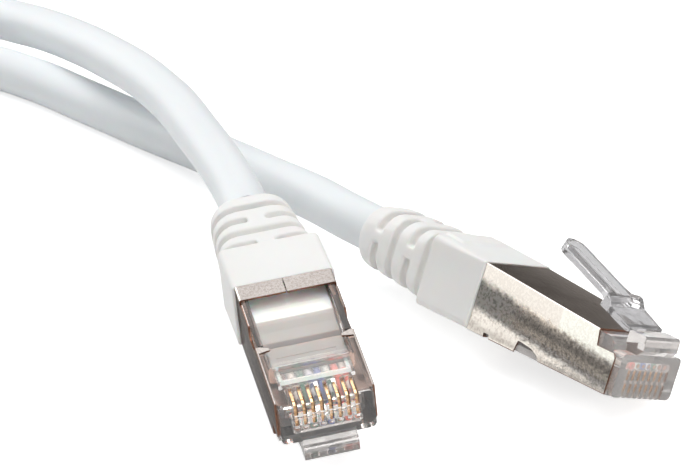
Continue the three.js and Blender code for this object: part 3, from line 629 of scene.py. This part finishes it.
# The sheet's inner face: the alloy shows warm through a thin dull wash of tin.
def tinned_inside():
    wash_size = 0.0015
    material, tree, output = new_material("tinned_inside")
    place = add(tree, "ShaderNodeTexCoord").outputs["Object"]
    wash = add(tree, "ShaderNodeTexNoise", {"Vector": place, "Scale": 1 / wash_size, "Detail": 4.0})
    tone = add(tree, "ShaderNodeMix", {
        "Factor": wash.outputs["Fac"], 6: srgb("#a9826f"), 7: srgb("#cfa893")}, data_type="RGBA")
    rough = add(tree, "ShaderNodeMapRange", {"Value": wash.outputs["Fac"], "To Min": 0.3, "To Max": 0.42})
    shader = add(tree, "ShaderNodeBsdfPrincipled", {
        "Base Color": tone.outputs[2], "Metallic": 1.0, "Roughness": rough.outputs["Result"]})
    tree.links.new(shader.outputs[0], output.inputs["Surface"])
    return material


def is_fold(edge):
    """Whether an edge is an outer corner that the sheet was bent round."""
    first, second = (vert.co for vert in edge.verts)
    runs_back = abs(first.y - second.y) > 0.9 * (first - second).length
    at_side = min(abs(first.x), abs(second.x)) > shield_half_width - same_place
    at_top = min(first.z, second.z) > shield_shoulder
    at_band = max(first.z, second.z) < band_top
    return runs_back and at_side and (at_top or at_band)


def is_rim(edge):
    """Whether an edge is the outer corner of a side plate's lower cut edge."""
    first, second = (vert.co for vert in edge.verts)
    at_side = min(abs(first.x), abs(second.x)) > shield_half_width - same_place
    low = max(first.z, second.z) < rim_level and min(first.z, second.z) > band_top
    return at_side and low and max(first.y, second.y) < band_front


def is_cut_edge(face):
    """Whether a face is the sheet's cut edge: it is no wider than the sheet is thick.

    The chamfer on each side plate's lower edge counts too: partly the rolled-over cut
    edge, partly a painted dark line for the shade along that edge.
    """
    middle = face.calc_center_median()
    turned = face.normal
    in_side = abs(middle.x) > shield_half_width - sheet and abs(turned.x) < 0.5
    in_side = in_side and band_top < middle.z < shield_shoulder
    ends = abs(turned.y) > 0.7
    # Painted shade: the lower edge's chamfer takes the dark cut-edge colour as a dark line.
    rim = middle.z < rim_width and turned.z < -0.3 and abs(turned.x) > 0.3 and middle.y < band_front
    return in_side or ends or rim


def is_inner(face):
    """Whether a face looks at the housing."""
    middle = face.calc_center_median()
    from_side = abs(middle.x) > inner_side and middle.x * face.normal.x < -0.3 * abs(middle.x)
    from_top = middle.z > inner_roof and face.normal.z < -0.5
    from_band = middle.z < inner_floor and face.normal.z > 0.5
    return from_side or from_top or from_band


def shield_shape(node, place):
    """A shield with round folds: side plates, cut edges and the flat plates each get a material."""
    shape = own_copy(node, place)
    folds = [edge for edge in shape.edges if is_fold(edge)]
    bmesh.ops.bevel(
        shape, geom=folds, offset=fold_radius, segments=4, profile=0.5, affect="EDGES",
        material=-1, clamp_overlap=True)
    rims = [edge for edge in shape.edges if is_rim(edge)]
    bmesh.ops.bevel(
        shape, geom=rims, offset=rim_width, segments=1, profile=0.5, affect="EDGES",
        material=-1, clamp_overlap=True)
    shape.normal_update()
    for face in shape.faces:
        if is_cut_edge(face):
            face.material_index = 1
        elif is_inner(face):
            face.material_index = 3
        else:
            # Side plates take the brighter painted copy of the nickel, the other plates the darker painted copy.
            face.material_index = 2 * int(abs(face.normal.x) < 0.7)
    shape.transform(place)
    return shape


cut_edge = cut_copper_alloy()
inside = tinned_inside()
for letter, place in plug_frames.items():
    side_nickel = nickel_plate(
        f"side_nickel_{letter}", place, side_belly[letter], side_twist[letter], 0.5, side_painted_tones)
    flat_nickel = nickel_plate(f"flat_nickel_{letter}", place, 0.0, 0.0, 0.12, flat_painted_tones)
    shield = finished_piece(
        f"shield_plate_{letter}", shield_shape(f"shield_{letter}", place), side_nickel,
        f"shield_{letter}", "cable")
    shield.data.materials.append(cut_edge)
    shield.data.materials.append(flat_nickel)
    shield.data.materials.append(inside)
    shield.data.shade_smooth()
    shield.data.set_sharp_from_angle(angle=math.radians(fold_angle))
    shading = shield.modifiers.new("even_shading", "WEIGHTED_NORMAL")
    shading.keep_sharp = True
    dress(soften(f"ferrule_{letter}", ferrule_rounding), flat_nickel)


# --------------------------------------------------------------- latches
# The spring lever of each plug, moulded with the housing in polycarbonate. It
# bends at its root, and a rail runs along each edge of the part that is pressed.
latch_rounding = 0.00012
# The latch's copy of the polycarbonate is tinted a darker grey than the housings', as painted shade for the
# lever's grey look.
latch_polycarbonate = clear_polycarbonate("latch_polycarbonate", "#c2c1c2", "#cfcecf", 0.9)
for letter in "ab":
    dress(soften(f"latch_{letter}", latch_rounding), latch_polycarbonate)


# ----------------------------------------------------------------- boots
# Strain reliefs of soft white elastomer, moulded over the cord and pushed on
# behind the shield. Every edge is rounded where the mould was.
boot_cell = 0.00016
boot_rounding = 8
boot_crisp_front = 0.0004
boot_ramp = 0.0085
boot_drop = 0.75
shield_top = 0.0083
lip_width, lip_depth, lip_thickness = 0.0056, 0.0005, 0.0006
lip_height = 0.0085


def boot_elastomer():
    """Thermoplastic elastomer: warm white and matte, with a fine grain that the mould left."""
    mould_grain = 0.0003
    cloud_size = 0.006
    material, tree, output = new_material("boot_elastomer")
    place = add(tree, "ShaderNodeTexCoord").outputs["Object"]
    grain = add(tree, "ShaderNodeTexNoise", {"Vector": place, "Scale": 1 / mould_grain, "Detail": 3.0})
    cloud = add(tree, "ShaderNodeTexNoise", {"Vector": place, "Scale": 1 / cloud_size, "Detail": 2.0})
    tone = add(tree, "ShaderNodeMix", {
        "Factor": cloud.outputs["Fac"], 6: srgb("#eeedea"), 7: srgb("#f4f3f1")}, data_type="RGBA")
    bump = add(tree, "ShaderNodeBump", {
        "Height": grain.outputs["Fac"], "Strength": 0.2, "Distance": 0.00004})
    rough = add(tree, "ShaderNodeMapRange", {"Value": grain.outputs["Fac"], "To Min": 0.5, "To Max": 0.66})
    shader = add(tree, "ShaderNodeBsdfPrincipled", {
        "Base Color": tone.outputs[2], "Roughness": rough.outputs["Result"], "IOR": 1.5,
        "Subsurface Weight": 0.15, "Subsurface Scale": 0.001, "Normal": bump.outputs["Normal"]})
    tree.links.new(shader.outputs[0], output.inputs["Surface"])
    return material


def even_cells(shape, size):
    """A shape rebuilt as even square cells, fine enough to be rounded."""
    data = bpy.data.meshes.new("cells")
    shape.to_mesh(data)
    shape.free()
    blank = bpy.data.objects.new("cells", data)
    bpy.context.scene.collection.objects.link(blank)
    cells = blank.modifiers.new("cells", "REMESH")
    cells.mode = "VOXEL"
    cells.voxel_size = size
    built = blank.evaluated_get(bpy.context.evaluated_depsgraph_get()).to_mesh()
    fine = bmesh.new()
    fine.from_mesh(built)
    bpy.data.objects.remove(blank)
    bpy.data.meshes.remove(data)
    return fine


def boot_shape(node, place):
    """A boot with every edge rounded but those of its front, which stay crisp.

    A lip over the shield closes the front, and the top slopes down to it."""
    blank = own_copy(node, place)
    front = min(vert.co.y for vert in blank.verts)
    lip = bmesh.ops.create_cube(blank, size=1.0)["verts"]
    bmesh.ops.scale(blank, verts=lip, vec=(lip_width, lip_depth, lip_thickness))
    bmesh.ops.translate(blank, verts=lip, vec=(0.0, front + lip_depth / 2, lip_height))
    shape = even_cells(blank, boot_cell)
    soft = [vert for vert in shape.verts if vert.co.y > front + boot_crisp_front]
    for _ in range(boot_rounding):
        bmesh.ops.smooth_vert(
            shape, verts=soft, factor=0.5, use_axis_x=True, use_axis_y=True, use_axis_z=True)
    for vert in shape.verts:
        above = vert.co.z - shield_top
        near = 1 - (vert.co.y - front) / boot_ramp
        if above > 0 and near > 0:
            vert.co.z -= above * boot_drop * near
    shape.transform(place)
    return shape


elastomer = boot_elastomer()
for letter, place in plug_frames.items():
    boot = finished_piece(
        f"boot_skin_{letter}", boot_shape(f"boot_{letter}", place), elastomer,
        f"boot_{letter}", "cable")
    boot.data.shade_smooth()


# ---------------------------------------------------------- jacket ends
# The last of the jacket, inside each boot: the same PVC as the free cord. The
# ferrule is crimped round it.
for letter in "ab":
    dress(frame["nodes"][f"jacket_end_{letter}"], cord_curve.materials[0])


# ----------------------------------------------------------------- light
# A plain white sweep under large soft lamps. Metal mirrors a pale ceiling, and
# below it the room's dim far walls.
wall_top, ceiling_edge = 0.16, 0.26
wall_glow, ceiling_glow = 0.14, 1.05
plain_white = srgb("#ffffff")
world = bpy.data.worlds.new("studio")
world.use_nodes = True
bpy.context.scene.world = world
studio = world.node_tree
studio.nodes.clear()
rays = add(studio, "ShaderNodeLightPath")
through = add(studio, "ShaderNodeMath", {
    0: rays.outputs["Is Camera Ray"], 1: rays.outputs["Is Transmission Ray"]}, operation="MAXIMUM")
shown = add(studio, "ShaderNodeMath", {
    0: through.outputs[0], 1: rays.outputs["Is Glossy Ray"]}, operation="MAXIMUM")
direction = add(studio, "ShaderNodeTexCoord").outputs["Generated"]
upward = add(studio, "ShaderNodeSeparateXYZ", {"Vector": direction})
ceiling = add(studio, "ShaderNodeMapRange", {
    "Value": upward.outputs["Z"], "From Min": wall_top, "From Max": ceiling_edge,
    "To Min": wall_glow, "To Max": ceiling_glow}, interpolation_type="SMOOTHSTEP")
level = add(studio, "ShaderNodeMath", {
    0: ceiling.outputs["Result"], 1: through.outputs[0]}, operation="MAXIMUM")
room = add(studio, "ShaderNodeBackground", {"Color": srgb("#e2e7ec"), "Strength": 0.13})
backdrop = add(studio, "ShaderNodeBackground", {"Color": plain_white, "Strength": level.outputs[0]})
sky = add(studio, "ShaderNodeMixShader", {
    0: shown.outputs[0], 1: room.outputs[0], 2: backdrop.outputs[0]})
add(studio, "ShaderNodeOutputWorld", {"Surface": sky.outputs[0]})

bpy.context.scene.view_settings.view_transform = "Standard"


def soft_lamp(name, place, aim, size, watts):
    """A square soft lamp that faces its aim."""
    data = bpy.data.lights.new(name, "AREA")
    data.size = size
    data.energy = watts
    lamp = bpy.data.objects.new(name, data)
    lamp.location = place
    lamp.rotation_euler = (Vector(aim) - Vector(place)).to_track_quat("-Z", "Y").to_euler()
    bpy.context.scene.collection.objects.link(lamp)


soft_lamp("back_lamp", (-0.15, 0.20, 0.75), (-0.03, 0.02, 0.0), 0.5, 2.8)
soft_lamp("top_lamp", (0.05, -0.05, 0.80), (0.0, 0.0, 0.0), 0.5, 1.7)
soft_lamp("right_lamp", (0.65, -0.05, 0.25), (0.02, 0.0, 0.0), 0.4, 1.5)
soft_lamp("left_lamp", (-0.62, -0.10, 0.25), (-0.03, 0.0, 0.0), 0.5, 1.8)
soft_lamp("front_lamp", (0.30, -0.40, 0.55), (0.0, 0.0, 0.0), 0.3, 0.38)


# White paper, so evenly lit that it is white in the picture. It still takes
# the object's shadow, and past its far edge metal reflects the dim room.
def white_paper():
    paper_reach = 0.118
    paper_fades = 1.8
    fibre_size = 0.002
    glow = 0.65
    mirrored_glow = 0.2
    material, tree, output = new_material("white_paper")
    rays = add(tree, "ShaderNodeLightPath")
    place = add(tree, "ShaderNodeTexCoord").outputs["Object"]
    fibre = add(tree, "ShaderNodeTexNoise", {"Vector": place, "Scale": 1 / fibre_size, "Detail": 3.0})
    tone = add(tree, "ShaderNodeMix", {
        "Factor": fibre.outputs["Fac"], 6: srgb("#f0f0f0"), 7: srgb("#f4f4f4")}, data_type="RGBA")
    matte = add(tree, "ShaderNodeBsdfDiffuse", {"Color": tone.outputs[2]})
    light = add(tree, "ShaderNodeEmission", {"Color": plain_white, "Strength": glow})
    white = add(tree, "ShaderNodeAddShader", {0: matte.outputs[0], 1: light.outputs[0]})
    distance = add(tree, "ShaderNodeVectorMath", {0: place}, operation="LENGTH")
    past = add(tree, "ShaderNodeMapRange", {
        "Value": distance.outputs["Value"], "From Min": paper_reach, "From Max": paper_reach * paper_fades})
    dim = add(tree, "ShaderNodeEmission", {"Color": srgb("#5c5854"), "Strength": 1.0})
    gleam = add(tree, "ShaderNodeEmission", {"Color": plain_white, "Strength": mirrored_glow})
    near = add(tree, "ShaderNodeAddShader", {0: matte.outputs[0], 1: gleam.outputs[0]})
    mirrored = add(tree, "ShaderNodeMixShader", {
        0: past.outputs["Result"], 1: near.outputs[0], 2: dim.outputs[0]})
    seen = add(tree, "ShaderNodeMath", {
        0: rays.outputs["Is Camera Ray"], 1: rays.outputs["Is Transmission Ray"]}, operation="MAXIMUM")
    plain = add(tree, "ShaderNodeMixShader", {
        0: seen.outputs[0], 1: matte.outputs[0], 2: white.outputs[0]})
    shown = add(tree, "ShaderNodeMixShader", {
        0: rays.outputs["Is Glossy Ray"], 1: plain.outputs[0], 2: mirrored.outputs[0]})
    tree.links.new(shown.outputs[0], output.inputs["Surface"])
    return material


floor_half = 3.0
floor_mesh = bmesh.new()
bmesh.ops.create_grid(floor_mesh, x_segments=1, y_segments=1, size=floor_half)
floor_data = bpy.data.meshes.new("floor")
floor_mesh.to_mesh(floor_data)
floor_mesh.free()
floor_data.materials.append(white_paper())
floor = bpy.data.objects.new("floor", floor_data)
bpy.context.scene.collection.objects.link(floor)
